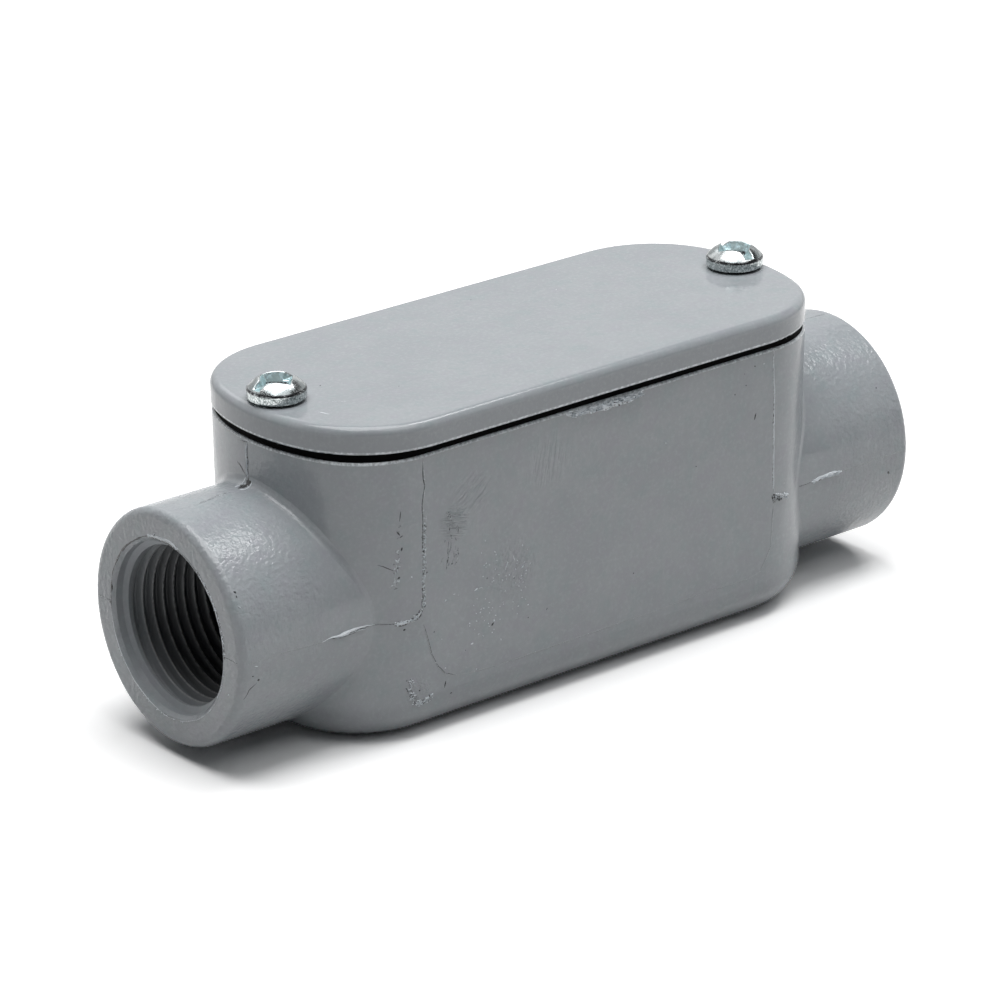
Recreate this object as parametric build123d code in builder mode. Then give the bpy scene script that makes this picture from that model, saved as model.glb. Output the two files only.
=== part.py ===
from build123d import *
from math import atan2, cos, degrees, sin, sqrt
import os

os.makedirs("parts", exist_ok=True)

# A straight-through conduit body for 3/4 inch pipe, in millimetres.
# X runs along the two threaded hubs and Z is up. The origin is the middle of the underside.

# Casting: plan outline at the rim and how it changes towards the underside
rim_length = 97.9
rim_side_margin = 2.7
rim_corner_offset = 7.5
base_corner_offset = 3.05
end_radius = 32.0
end_flare = 0.95
side_draft = 1.25
casting_height = 44.6
base_edge_radius = 6.7
rim_edge_radius = 0.4
wall = 2.9
floor_thickness = 3.2
chamber_floor_radius = 4.0

# Hubs, one at each end
hub_projection = 16.25
hub_wall = 4.85
hub_ground_clearance = 1.9
hub_rim_radius = 1.3
hub_root_radius = 1.3
thread_bore_radius = 13.05
mouth_chamfer = 0.5
throat_radius = 10.4
throat_land = 2.75
throat_lip_radius = 1.0

# Screw bosses inside the two ends
screw_end_distance = 4.65
boss_radius = 4.6
boss_depth = 10.5
boss_taper_height = 2.6
boss_root_radius = 1.5
tapped_hole_depth = 9.0

# Cover and its gasket
cover_end_overhang = 0.4
cover_side_overhang = 0.75
cover_corner_offset = 5.25
cover_end_radius = 32.7
cover_thickness = 4.1
cover_edge_radius = 1.35
cover_lower_edge_radius = 0.3
cover_rim_width = 4.4
cover_plate_thickness = 2.3
cover_hole_radius = 2.5
cover_pad_radius = 5.0
gasket_thickness = 1.2
gasket_inset = 0.35
gasket_band = 3.1
gasket_ear_radius = 4.6

# Cover screws
head_radius = 4.4
head_underside_radius = 3.7
head_underside_height = 0.35
head_side_height = 1.5
head_side_bevel = 0.15
dome_height = 1.95
shank_radius = 2.03
shank_length = 12.7
shank_tip_chamfer = 0.5
thread_clearance = 0.05
slot_width = 1.2
slot_depth = 1.5
slot_angles = {"cover_screw_left": -30, "cover_screw_right": -46}
cross_span = 5.0
cross_arm_width = 1.25
cross_depth = 2.5
cross_floor_span = 1.9
cross_floor_width = 0.7

# Places that follow from the sizes above
hub_outer_radius = thread_bore_radius + hub_wall
rim_end = rim_length / 2
rim_half_width = hub_outer_radius + rim_side_margin
hub_face_distance = rim_end + hub_projection
hub_axis_height = hub_outer_radius + hub_ground_clearance
throat_start = rim_end - wall + throat_land
screw_distance = rim_end - screw_end_distance
screw_places = [(-screw_distance, 0), (screw_distance, 0)]
boss_foot = casting_height - boss_depth
tapped_hole_radius = shank_radius + thread_clearance
gasket_top = casting_height + gasket_thickness
cover_top = gasket_top + cover_thickness
hub_planes = [
    Plane(origin=(side * hub_face_distance, 0, hub_axis_height), x_dir=(0, 1, 0), z_dir=(side, 0, 0))
    for side in (-1, 1)
]


def plan_outline(half_length, half_width, corner_offset, end_arc_radius, mode=Mode.ADD):
    """Rounded plan outline: straight sides, a flatter arc across each end and four corner arcs.

    The corner arcs' centres lie the corner offset away from the middle line.
    """
    corner_radius = half_width - corner_offset
    end_centre = half_length - end_arc_radius
    corner_x = end_centre + sqrt((end_arc_radius - corner_radius) ** 2 - corner_offset**2)
    end_angle = degrees(atan2(corner_offset, corner_x - end_centre))
    corner_sweep = 90 - end_angle
    with BuildLine() as outline:
        CenterArc((end_centre, 0), end_arc_radius, -end_angle, 2 * end_angle)
        CenterArc((corner_x, corner_offset), corner_radius, end_angle, corner_sweep)
        Line((corner_x, half_width), (-corner_x, half_width))
        CenterArc((-corner_x, corner_offset), corner_radius, 90, corner_sweep)
        CenterArc((-end_centre, 0), end_arc_radius, 180 - end_angle, 2 * end_angle)
        CenterArc((-corner_x, -corner_offset), corner_radius, 180 + end_angle, corner_sweep)
        Line((-corner_x, -half_width), (corner_x, -half_width))
        CenterArc((corner_x, -corner_offset), corner_radius, 270, corner_sweep)
    make_face(outline.edges(), mode=mode)


def casting_outline_at(height, inset):
    """Plan outline of the casting at a height, moved inwards from its skin by the inset."""
    drop = 1 - height / casting_height
    half_length = rim_end + end_flare * drop
    half_width = rim_half_width - side_draft * drop
    corner_offset = rim_corner_offset + (base_corner_offset - rim_corner_offset) * drop
    plan_outline(half_length - inset, half_width - inset, corner_offset, end_radius - inset)


def hub_rings(radius, distance, side):
    """Circular edges of the casting with a radius, at a distance along the hub on one side."""
    rings = casting.edges().filter_by(GeomType.CIRCLE).filter_by_position(
        Axis.X, side * distance - 0.01, side * distance + 0.01
    )
    return [ring for ring in rings if abs(ring.radius - radius) < 0.01]


# Wiring chamber: the hollow of the casting, with its floor rounded and the two screw bosses left standing
with BuildPart() as chamber:
    with BuildSketch(Plane.XY.offset(floor_thickness)):
        casting_outline_at(floor_thickness, wall)
    with BuildSketch(Plane.XY.offset(casting_height)):
        casting_outline_at(casting_height, wall)
    loft(ruled=True)
    fillet(chamber.faces().sort_by(Axis.Z)[0].edges(), chamber_floor_radius)
    with BuildSketch(Plane.XY.offset(boss_foot)):
        with Locations(*screw_places):
            Circle(boss_radius)
    extrude(amount=boss_depth, mode=Mode.SUBTRACT)
    for x, y in screw_places:
        with BuildSketch(Plane.XY.offset(boss_foot)):
            with Locations((x, y)):
                Circle(boss_radius)
        with BuildSketch(Plane.XY.offset(boss_foot - boss_taper_height)):
            with Locations((x + (boss_taper_height if x > 0 else -boss_taper_height), y)):
                Circle(boss_radius - boss_taper_height)
        loft(ruled=True, mode=Mode.SUBTRACT)
    boss_roots = [
        edge
        for edge in chamber.edges()
        if abs(edge.center().X) > screw_distance
        and abs(edge.center().Y) < boss_radius
        and boss_foot - boss_taper_height < edge.center().Z < casting_height
        and edge.length > boss_taper_height
    ]
    fillet(boss_roots, boss_root_radius)

# Casting: box with a rounded underside, a threaded hub at each end and the open chamber
with BuildPart() as casting:
    with BuildSketch(Plane.XY):
        casting_outline_at(0, 0)
    with BuildSketch(Plane.XY.offset(casting_height)):
        casting_outline_at(casting_height, 0)
    loft(ruled=True)
    fillet(casting.faces().sort_by(Axis.Z)[0].edges(), base_edge_radius)
    fillet(casting.faces().sort_by(Axis.Z)[-1].edges(), rim_edge_radius)
    box_edges = casting.edges()

    # Hubs grow out of the end walls and blend into them
    for plane in hub_planes:
        with BuildSketch(plane):
            Circle(hub_outer_radius)
        extrude(amount=-hub_face_distance)
    hub_roots = [
        edge for edge in casting.edges() - box_edges if abs(edge.center().X) < hub_face_distance - hub_rim_radius
    ]
    fillet(hub_roots, hub_root_radius)
    hub_faces = [casting.faces().sort_by(Axis.X)[end] for end in (0, -1)]
    fillet([edge for face in hub_faces for edge in face.edges()], hub_rim_radius)

    add(chamber.part, mode=Mode.SUBTRACT)

    # Each hub has a bore for the pipe thread that ends on the rounded lip of a narrower throat
    for plane in hub_planes:
        with BuildSketch(plane):
            Circle(throat_radius)
        extrude(amount=screw_distance - hub_face_distance, mode=Mode.SUBTRACT)
        with BuildSketch(plane):
            Circle(thread_bore_radius)
        extrude(amount=throat_start - hub_face_distance, mode=Mode.SUBTRACT)
        fillet(hub_rings(throat_radius, throat_start, plane.z_dir.X), throat_lip_radius)
        chamfer(hub_rings(thread_bore_radius, hub_face_distance, plane.z_dir.X), mouth_chamfer)

    # Tapped holes for the cover screws
    with Locations(*[(x, y, casting_height) for x, y in screw_places]):
        Hole(tapped_hole_radius, depth=tapped_hole_depth)
casting.part.label = "casting"
export_step(casting.part, "parts/casting.step")

# Gasket: flat ring on the rim, with an ear round each screw
with BuildSketch(Plane.XY.offset(casting_height)) as gasket_opening:
    casting_outline_at(casting_height, gasket_inset + gasket_band)
    with Locations(*screw_places):
        Circle(gasket_ear_radius, mode=Mode.SUBTRACT)

with BuildPart() as gasket:
    with BuildSketch(Plane.XY.offset(casting_height)):
        casting_outline_at(casting_height, gasket_inset)
        with Locations(*screw_places):
            Circle(cover_hole_radius, mode=Mode.SUBTRACT)
    extrude(amount=gasket_thickness)
    extrude(gasket_opening.sketch, amount=gasket_thickness, mode=Mode.SUBTRACT)
gasket.part.label = "gasket"
export_step(gasket.part, "parts/gasket.step")

# Cover: die-cast plate with a soft upper edge, hollowed underneath inside its rim and screw pads
cover_half_length = rim_end + cover_end_overhang
cover_half_width = rim_half_width + cover_side_overhang
with BuildPart() as cover:
    with BuildSketch(Plane.XY.offset(gasket_top)):
        plan_outline(cover_half_length, cover_half_width, cover_corner_offset, cover_end_radius)
    extrude(amount=cover_thickness)
    fillet(cover.faces().sort_by(Axis.Z)[-1].edges(), cover_edge_radius)
    fillet(cover.faces().sort_by(Axis.Z)[0].edges(), cover_lower_edge_radius)
    with BuildSketch(Plane.XY.offset(gasket_top)):
        plan_outline(
            cover_half_length - cover_rim_width,
            cover_half_width - cover_rim_width,
            cover_corner_offset,
            cover_end_radius - cover_rim_width,
        )
        with Locations(*screw_places):
            Circle(cover_pad_radius, mode=Mode.SUBTRACT)
    extrude(amount=cover_thickness - cover_plate_thickness, mode=Mode.SUBTRACT)
    with Locations(*[(x, y, cover_top) for x, y in screw_places]):
        Hole(cover_hole_radius, depth=cover_thickness)
cover.part.label = "cover"
export_step(cover.part, "parts/cover.step")

# Cover screws: domed heads with a cross recess and a slot, standing on the cover
head_side_top = head_underside_height + head_side_height
head_top = head_side_top + dome_height
dome_foot_radius = head_radius - head_side_bevel
dome_radius = (dome_foot_radius**2 + dome_height**2) / (2 * dome_height)
dome_middle_angle = atan2(dome_foot_radius, dome_radius - dome_height) / 2
dome_middle = (dome_radius * sin(dome_middle_angle), head_top - dome_radius * (1 - cos(dome_middle_angle)))

for name, (x, y) in zip(("cover_screw_left", "cover_screw_right"), screw_places):
    screw_base = Plane.XY.offset(cover_top).move(Location((x, y, 0)))
    recess_plane = screw_base.offset(head_top).rotated((0, 0, slot_angles[name]))
    with BuildPart() as cover_screw:
        with BuildSketch(Plane(origin=screw_base.origin, x_dir=(1, 0, 0), z_dir=(0, -1, 0))):
            with BuildLine():
                Polyline(
                    (0, head_top),
                    (0, -shank_length),
                    (shank_radius - shank_tip_chamfer, -shank_length),
                    (shank_radius, -shank_length + shank_tip_chamfer),
                    (shank_radius, 0),
                    (head_underside_radius, 0),
                    (head_radius, head_underside_height),
                    (head_radius, head_side_top - head_side_bevel),
                    (dome_foot_radius, head_side_top),
                )
                ThreePointArc((dome_foot_radius, head_side_top), dome_middle, (0, head_top))
            make_face()
        revolve(axis=Axis(screw_base.origin, (0, 0, 1)))
        with BuildSketch(recess_plane):
            Rectangle(3 * head_radius, slot_width)
        extrude(amount=-slot_depth, mode=Mode.SUBTRACT)
        for depth, span, arm_width in (
            (0, cross_span, cross_arm_width),
            (cross_depth, cross_floor_span, cross_floor_width),
        ):
            with BuildSketch(recess_plane.offset(-depth)):
                Rectangle(span, arm_width)
                Rectangle(arm_width, span)
        loft(ruled=True, mode=Mode.SUBTRACT)
    cover_screw.part.label = name
    export_step(cover_screw.part, f"parts/{name}.step")
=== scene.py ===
import math

import bmesh
import bpy
import numpy as np
from mathutils import Euler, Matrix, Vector
from mathutils.bvhtree import BVHTree


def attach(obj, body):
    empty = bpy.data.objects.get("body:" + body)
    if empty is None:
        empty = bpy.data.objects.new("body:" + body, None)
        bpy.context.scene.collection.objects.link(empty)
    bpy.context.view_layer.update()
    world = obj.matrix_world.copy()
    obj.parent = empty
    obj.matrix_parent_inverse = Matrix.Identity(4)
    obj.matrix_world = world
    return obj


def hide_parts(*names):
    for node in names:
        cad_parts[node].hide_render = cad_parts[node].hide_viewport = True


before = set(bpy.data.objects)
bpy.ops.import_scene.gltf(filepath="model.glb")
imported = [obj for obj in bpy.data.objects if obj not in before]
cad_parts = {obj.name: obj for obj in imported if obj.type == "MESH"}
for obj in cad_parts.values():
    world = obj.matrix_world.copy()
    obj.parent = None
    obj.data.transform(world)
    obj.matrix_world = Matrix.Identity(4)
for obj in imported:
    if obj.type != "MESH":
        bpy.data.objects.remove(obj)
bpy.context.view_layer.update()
mm = 0.001
print("frame loaded:", ", ".join(sorted(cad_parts)))


def addObject(name, data):
    added = bpy.data.objects.new(name, data)
    bpy.context.scene.collection.objects.link(added)
    return added


# camera: the photograph's long-lens view, aimed just beside the middle of the box
cameraSpec = {
    "place": (-451.0, -544.8, 302.7),
    "aim": (-2.5, 0.6, 23.2),
    "roll": -0.634,
    "lens": 181.5,
    "sensor": 36.0,
}


def makeCamera(spec):
    place = Vector(spec["place"]) * mm
    aim = Vector(spec["aim"]) * mm
    data = bpy.data.cameras.new("camera")
    data.lens = spec["lens"]
    data.sensor_width = spec["sensor"]
    data.clip_start = 0.01
    data.clip_end = 20.0
    camera = addObject("camera", data)
    aimed = (aim - place).to_track_quat("-Z", "Y")
    tilt = Euler((0, 0, math.radians(spec["roll"]))).to_quaternion()
    camera.rotation_mode = "QUATERNION"
    camera.rotation_quaternion = aimed @ tilt  # the tilt turns about the line of sight
    camera.location = place
    bpy.context.scene.camera = camera


makeCamera(cameraSpec)
print("camera set")


# lamps, in metres and watts: the main softbox straight overhead, weaker ones in front and behind
lampSpecs = {
    "overhead": {"place": (-0.08, 0.05, 1.0), "aim": (-0.08, 0.05, 0.0), "size": (0.8, 0.8), "power": 8.7},
    "overheadRight": {"place": (0.1, -0.66, 1.0), "aim": (0.1, -0.66, 0), "size": (0.6, 0.8), "power": 2.5},
    "frontRight": {"place": (0.95, -0.95, 0.42), "aim": (0.0, 0.0, 0.02), "size": (0.6, 0.6), "power": 0.45},
    "backRight": {"place": (0.5, -0.1, 1.0), "aim": (-0.05, 0.0, 0.0), "size": (0.27, 0.3), "power": 2.4},
    "backLeft": {"place": (0.25, 1.1, 0.9), "aim": (0.0, 0.0, 0.0), "size": (0.6, 0.6), "power": 1.3},
}


def makeLamp(name, spec):
    data = bpy.data.lights.new(name, "AREA")
    data.shape = "RECTANGLE"
    data.size, data.size_y = spec["size"]
    data.energy = spec["power"]
    lamp = addObject(name, data)
    lamp.location = spec["place"]
    lamp.rotation_euler = (Vector(spec["aim"]) - Vector(spec["place"])).to_track_quat("-Z", "Y").to_euler()


for lampName, lampSpec in lampSpecs.items():
    makeLamp(lampName, lampSpec)


# helpers for every node tree below
def put(tree, kind, links=None, **settings):
    # adds one node, sets its plain properties and default inputs, and links what is given
    node = tree.nodes.new(kind)
    for key, value in settings.items():
        if hasattr(node, key):
            setattr(node, key, value)
        else:
            node.inputs[key].default_value = value
    for key, source in (links or {}).items():
        tree.links.new(source, node.inputs[key])
    return node


def fill(socket, value):
    # gives an input a number or links it
    if isinstance(value, (int, float)):
        socket.default_value = value
    else:
        socket.id_data.links.new(value, socket)


def calc(operation, first, second=None):
    # one Math node, in the tree of the socket that it is given; either of its values may be a number
    given = second if isinstance(first, float) else first
    node = put(given.id_data, "ShaderNodeMath", operation=operation)
    fill(node.inputs[0], first)
    if second is not None:
        fill(node.inputs[1], second)
    return node.outputs[0]


def times(first, second):
    return calc("MULTIPLY", first, second)


def plus(first, second):
    return calc("ADD", first, second)


# the surroundings are white where they are seen, and nearly dark as a source of light
surroundSpec = {
    "seen": 1.0,
    "light": 0.02,
    "floorHalf": 4.0,
    "floorLevel": -0.00005,
    "floorSeen": 1.38,
    "floorPaper": 0.53,
}


def seenRays(tree):
    # one for camera, glossy and transmission rays, zero for the rest
    path = put(tree, "ShaderNodeLightPath").outputs
    seen = calc("MAXIMUM", path["Is Camera Ray"], path["Is Glossy Ray"])
    return calc("MAXIMUM", seen, path["Is Transmission Ray"])


def makeWorld(spec):
    world = bpy.data.worlds.new("studio")
    bpy.context.scene.world = world
    world.use_nodes = True
    tree = world.node_tree
    tree.nodes.clear()
    level = put(tree, "ShaderNodeMapRange", {"Value": seenRays(tree)})
    level.inputs["To Min"].default_value = spec["light"]
    level.inputs["To Max"].default_value = spec["seen"]
    sky = put(tree, "ShaderNodeBackground", {"Strength": level.outputs[0]})
    put(tree, "ShaderNodeOutputWorld", {"Surface": sky.outputs[0]})


def emptySurface(name, corners):
    # a flat stage piece with its four corners in metres, and the node tree of its bare material
    mesh = bpy.data.meshes.new(name)
    mesh.from_pydata(corners, [], [(0, 1, 2, 3)])
    surface = addObject(name, mesh)
    material = bpy.data.materials.new(name)
    material.use_nodes = True
    material.node_tree.nodes.clear()
    mesh.materials.append(material)
    return surface, material.node_tree


def makeFloor(spec):
    half, level = spec["floorHalf"], spec["floorLevel"]
    corners = [(-half, -half, level), (half, -half, level), (half, half, level), (-half, half, level)]
    tree = emptySurface("floor", corners)[1]
    mixed = put(tree, "ShaderNodeMixShader", {"Fac": seenRays(tree)})
    for slot, tone in ((1, spec["floorPaper"]), (2, spec["floorSeen"])):
        paper = put(tree, "ShaderNodeBsdfDiffuse", Color=(tone, tone, tone, 1))
        tree.links.new(paper.outputs[0], mixed.inputs[slot])
    put(tree, "ShaderNodeOutputMaterial", {"Surface": mixed.outputs[0]})


# the unlit room: a dark ceiling above the lamps and a dark wall in front, met by reflections only
roomSpec = {"tone": 0.05, "ceiling": 1.6, "half": 3.0, "back": 0.9, "front": -2.2}


def makeCard(name, corners, tone):
    card, tree = emptySurface(name, corners)
    glow = put(tree, "ShaderNodeEmission", Color=(tone, tone, tone, 1))
    put(tree, "ShaderNodeOutputMaterial", {"Surface": glow.outputs[0]})
    for ray in ("camera", "diffuse", "transmission", "volume_scatter", "shadow"):
        setattr(card, "visible_" + ray, False)


def makeRoom(spec):
    half, top, back, front, tone = (spec[key] for key in ("half", "ceiling", "back", "front", "tone"))
    ceiling = [(-half, front, top), (half, front, top), (half, back, top), (-half, back, top)]
    wall = [(-half, front, 0), (half, front, 0), (half, front, top), (-half, front, top)]
    makeCard("ceiling", ceiling, tone)
    makeCard("wall", wall, tone)


makeWorld(surroundSpec)
makeFloor(surroundSpec)
makeRoom(roomSpec)
bpy.context.scene.view_settings.view_transform = "Standard"
print("studio set")


# node groups shared by the finishes; they work in millimetres of object space
def newGroup(name, values, result):
    # an empty group that takes a vector and the given numbers; the last item returned is its only output
    group = bpy.data.node_groups.new(name, "ShaderNodeTree")
    group.interface.new_socket(name="Vector", in_out="INPUT", socket_type="NodeSocketVector")
    for label, value in values.items():
        socket = group.interface.new_socket(name=label, in_out="INPUT", socket_type="NodeSocketFloat")
        socket.default_value = value
    group.interface.new_socket(name=result, in_out="OUTPUT", socket_type="NodeSocketFloat")
    return group, put(group, "NodeGroupInput").outputs, put(group, "NodeGroupOutput").inputs[result]


def remap(value, low, high, toLow=0.0, toHigh=1.0):
    # eases a value from one range to another, and holds it at the ends
    node = put(value.id_data, "ShaderNodeMapRange", {"Value": value}, interpolation_type="SMOOTHSTEP")
    for key, number in (("From Min", low), ("From Max", high), ("To Min", toLow), ("To Max", toHigh)):
        fill(node.inputs[key], number)
    return node.outputs[0]


def noise(vector, scale, detail=2.0, roughness=0.5):
    node = put(vector.id_data, "ShaderNodeTexNoise", {"Vector": vector}, Detail=detail, Roughness=roughness)
    fill(node.inputs["Scale"], scale)
    return node.outputs["Fac"]


def makePeelGroup():
    # paint skin in millimetres of height: a fine grain and slow waves, each times its own depth
    group, given, result = newGroup("paintPeel", {"Grain": 1.0, "Fine": 0.02, "Waves": 0.05}, "Height")
    fine = times(noise(given["Vector"], given["Grain"]), given["Fine"])
    waves = times(noise(given["Vector"], 0.2), given["Waves"])
    fill(result, plus(fine, waves))
    return group


def makeDotsGroup():
    # scattered dots: a Voronoi cell holds a dot where the cell's own random value is under the share
    group, given, result = newGroup("scatteredDots", {"Spacing": 2.0, "Radius": 0.12, "Share": 0.1}, "Mask")
    scale = calc("DIVIDE", 1.0, given["Spacing"])
    cells = put(group, "ShaderNodeTexVoronoi", {"Vector": given["Vector"], "Scale": scale}).outputs
    distance = times(cells["Distance"], given["Spacing"])
    random = put(group, "ShaderNodeSeparateColor", {"Color": cells["Color"]}).outputs
    size = remap(random["Green"], 0.0, 1.0, 0.5, 1.3)
    radius = times(given["Radius"], size)
    dot = remap(distance, times(radius, 0.45), radius, 1.0, 0.0)
    kept = calc("LESS_THAN", random["Red"], given["Share"])
    fill(result, times(dot, kept))
    return group


def makeStreaksGroup():
    # drag marks: noise that varies quickly across and slowly down, shown only in patches
    group, given, result = newGroup("dragStreaks", {"Across": 1.2, "Down": 0.12}, "Mask")
    scales = {"X": given["Across"], "Y": given["Across"], "Z": given["Down"]}
    stretch = put(group, "ShaderNodeCombineXYZ", scales).outputs[0]
    stretched = put(group, "ShaderNodeVectorMath", {0: given["Vector"], 1: stretch}, operation="MULTIPLY")
    streak = noise(stretched.outputs[0], 1.0, 3.0, 0.6)
    shown = remap(noise(given["Vector"], 0.07), 0.42, 0.6)
    fill(result, times(streak, shown))
    return group


groups = {"peel": makePeelGroup(), "dots": makeDotsGroup(), "streaks": makeStreaksGroup()}


def useGroup(key, vector, **values):
    node = put(vector.id_data, "ShaderNodeGroup", node_tree=groups[key])
    for label, value in {"Vector": vector, **values}.items():
        fill(node.inputs[label], value)
    return node.outputs[0]


def startMaterial(name):
    # a material with its Principled shader, and object coordinates in millimetres
    material = bpy.data.materials.new(name)
    material.use_nodes = True
    tree = material.node_tree
    place = put(tree, "ShaderNodeTexCoord").outputs["Object"]
    scaled = put(tree, "ShaderNodeMapping", {"Vector": place}, Scale=(1000, 1000, 1000))
    return material, tree.nodes["Principled BSDF"], scaled.outputs["Vector"]


def ownValue(tree, name):
    # a value that the mesh itself holds for each point
    return put(tree, "ShaderNodeAttribute", attribute_name=name).outputs["Fac"]


def separate(vector):
    # the X, Y and Z of a vector
    return put(vector.id_data, "ShaderNodeSeparateXYZ", {"Vector": vector}).outputs


def blend(mask, first, second):
    # colour mix: first where the mask is zero, second where it is one; each is a socket or a colour
    node = put(mask.id_data, "ShaderNodeMix", {"Factor": mask}, data_type="RGBA")
    for slot, value in ((6, first), (7, second)):
        if isinstance(value, tuple):
            node.inputs[slot].default_value = value + (1,)
        else:
            fill(node.inputs[slot], value)
    return node.outputs[2]


def dress(shader, colour, roughness, height):
    # links what varies over a surface; the height is a bump in millimetres
    bump = put(height.id_data, "ShaderNodeBump", {"Height": height}, Strength=1.0, Distance=mm)
    fill(shader.inputs["Normal"], bump.outputs["Normal"])
    fill(shader.inputs["Base Color"], colour)
    fill(shader.inputs["Roughness"], roughness)


# grey enamel; depths, spacings, radii and levels are in millimetres, the scales and the grain in waves a
# millimetre, and pits is the share of places that hold one
enamelSpec = {
    "colour": (0.352, 0.378, 0.402),
    "clouded": (0.378, 0.404, 0.426),
    "teal": (0.335, 0.385, 0.402),
    "violet": (0.366, 0.376, 0.412),
    "pale": (0.86, 0.91, 0.94),
    # painted shade: the near-black colour in the pits
    "pit": (0.04, 0.042, 0.045),
    # painted shade: the colour laid deep inside the bores
    "inside": (0.105, 0.111, 0.117),
    # painted highlight: the colour laid on the thread crests
    "crest": (0.42, 0.43, 0.44),
    "roughness": 0.21,
    "specular": 0.5,
    "cloudScale": 0.11,
    "tintScale": 0.28,
    "rubScale": 1.6,
    "grain": 1.4,
    "peel": 0.02,
    "hubPeel": 0.15,
    "hubBlend": (46.0, 53.0),
    "waves": 0.12,
    "drag": 0.014,
    "pits": 0.02,
    "pitDepth": 0.08,
    "pitSize": {"Spacing": 2.6, "Radius": 0.16},
    "speckSize": {"Spacing": 3.7, "Radius": 0.15},
    # the pale line round the rim: edge wear and painted highlight
    "rimWearAndHighlight": (44.14, 44.66),
    "paintedSideShade": None,
    "paintedSideShadeLine": (48.3, 48.9),
    "ripples": [],
}
# rippled patches on the side face: middle, reach and depth in millimetres, waves a millimetre along X and up
# Z, and the tilt in degrees
ripplePatches = [
    {"middle": (-28.2, -20.0, 32.6), "reach": 3.4, "along": 0.4, "up": 2.4, "tilt": 12, "depth": 0.26},
    {"middle": (-25.0, -20.0, 36.2), "reach": 5.0, "along": 0.35, "up": 1.7, "tilt": -35, "depth": 0.11},
    {"middle": (-10.5, -20.0, 37.7), "reach": 5.5, "along": 2.0, "up": 0.25, "tilt": 10, "depth": 0.1},
    {"middle": (-17.0, -20.0, 22.5), "reach": 6.0, "along": 1.1, "up": 0.9, "tilt": 30, "depth": 0.13},
    {"middle": (-34.8, -19.6, 7.5), "reach": 3.2, "along": 1.9, "up": 1.7, "tilt": 0, "depth": 0.12},
]
castSpec = dict(enamelSpec, name="castEnamel", ripples=ripplePatches)
coverSpec = dict(
    enamelSpec,
    name="coverEnamel",
    roughness=0.13,
    peel=0.004,
    hubPeel=0.004,
    waves=0.04,
    drag=0.0,
    pits=0.004,
    # a pale line along the cover's lower edge: edge wear and painted highlight
    rimWearAndHighlight=(45.85, 46.3),
    # painted shade on the cover's sides
    paintedSideShade=(0.335, 0.358, 0.382),
)
boreSpec = dict(
    enamelSpec,
    name="boreEnamel",
    roughness=0.32,
    specular=0.25,
    peel=0.01,
    hubPeel=0.01,
    drag=0.0,
    rimWearAndHighlight=None,
)
# painted shade inside both bores: a darker colour that fades out towards the hubs' faces
boreShadeSpec = {
    "boreRadius": 13.4,
    "radiusFade": 0.2,
    "boreEnd": 64.9,
    "endFade": 8,
    "atEnd": 0.1,
    "axisHeight": 19.8,
}


def bandMask(value, low, high):
    # one in the middle of a band, falling to zero at its edges
    reach = (high - low) / 2
    away = calc("ABSOLUTE", calc("SUBTRACT", value, (low + high) / 2))
    return remap(away, reach * 0.5, reach, 1.0, 0.0)


def boreShadeMask(split, spec):
    # where the painted shade of the bores lies: near the X axis, and a little in from the hubs' faces
    alongX = calc("ABSOLUTE", split["X"])
    rise = calc("SUBTRACT", split["Z"], spec["axisHeight"])
    away = calc("SQRT", plus(times(rise, rise), times(split["Y"], split["Y"])))
    radius, end = spec["boreRadius"], spec["boreEnd"]
    near = remap(away, radius - spec["radiusFade"], radius, 1.0, 0.0)
    return times(near, remap(alongX, end - spec["endFade"], end, 1.0, spec["atEnd"]))


def rippleHeight(vector, patch):
    # stretched noise that fades out towards the patch's edge
    tree = vector.id_data
    away = put(tree, "ShaderNodeVectorMath", {0: vector}, operation="DISTANCE")
    away.inputs[1].default_value = patch["middle"]
    shown = remap(away.outputs["Value"], patch["reach"] * 0.35, patch["reach"], 1.0, 0.0)
    turned = put(tree, "ShaderNodeMapping", {"Vector": vector}, vector_type="TEXTURE")
    turned.inputs["Rotation"].default_value = (0, math.radians(patch["tilt"]), 0)
    turned.inputs["Scale"].default_value = (1 / patch["along"], 1.0, 1 / patch["up"])
    wave = remap(noise(turned.outputs["Vector"], 1.0), 0.3, 0.7)
    return times(times(wave, shown), patch["depth"])


def enamelHeight(vector, split, pits, spec):
    # orange peel, coarser on the hubs, with drag marks, ripples and pits
    onHub = remap(calc("ABSOLUTE", split["X"]), *spec["hubBlend"])
    peel = remap(onHub, 0.0, 1.0, spec["peel"], spec["hubPeel"])
    height = useGroup("peel", vector, Grain=spec["grain"], Fine=peel, Waves=spec["waves"])
    if spec["drag"]:
        streaks = useGroup("streaks", vector, Across=1.4, Down=0.1)
        height = plus(height, times(streaks, spec["drag"]))
    for patch in spec["ripples"]:
        height = plus(height, rippleHeight(vector, patch))
    return calc("SUBTRACT", height, times(pits, spec["pitDepth"]))


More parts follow.
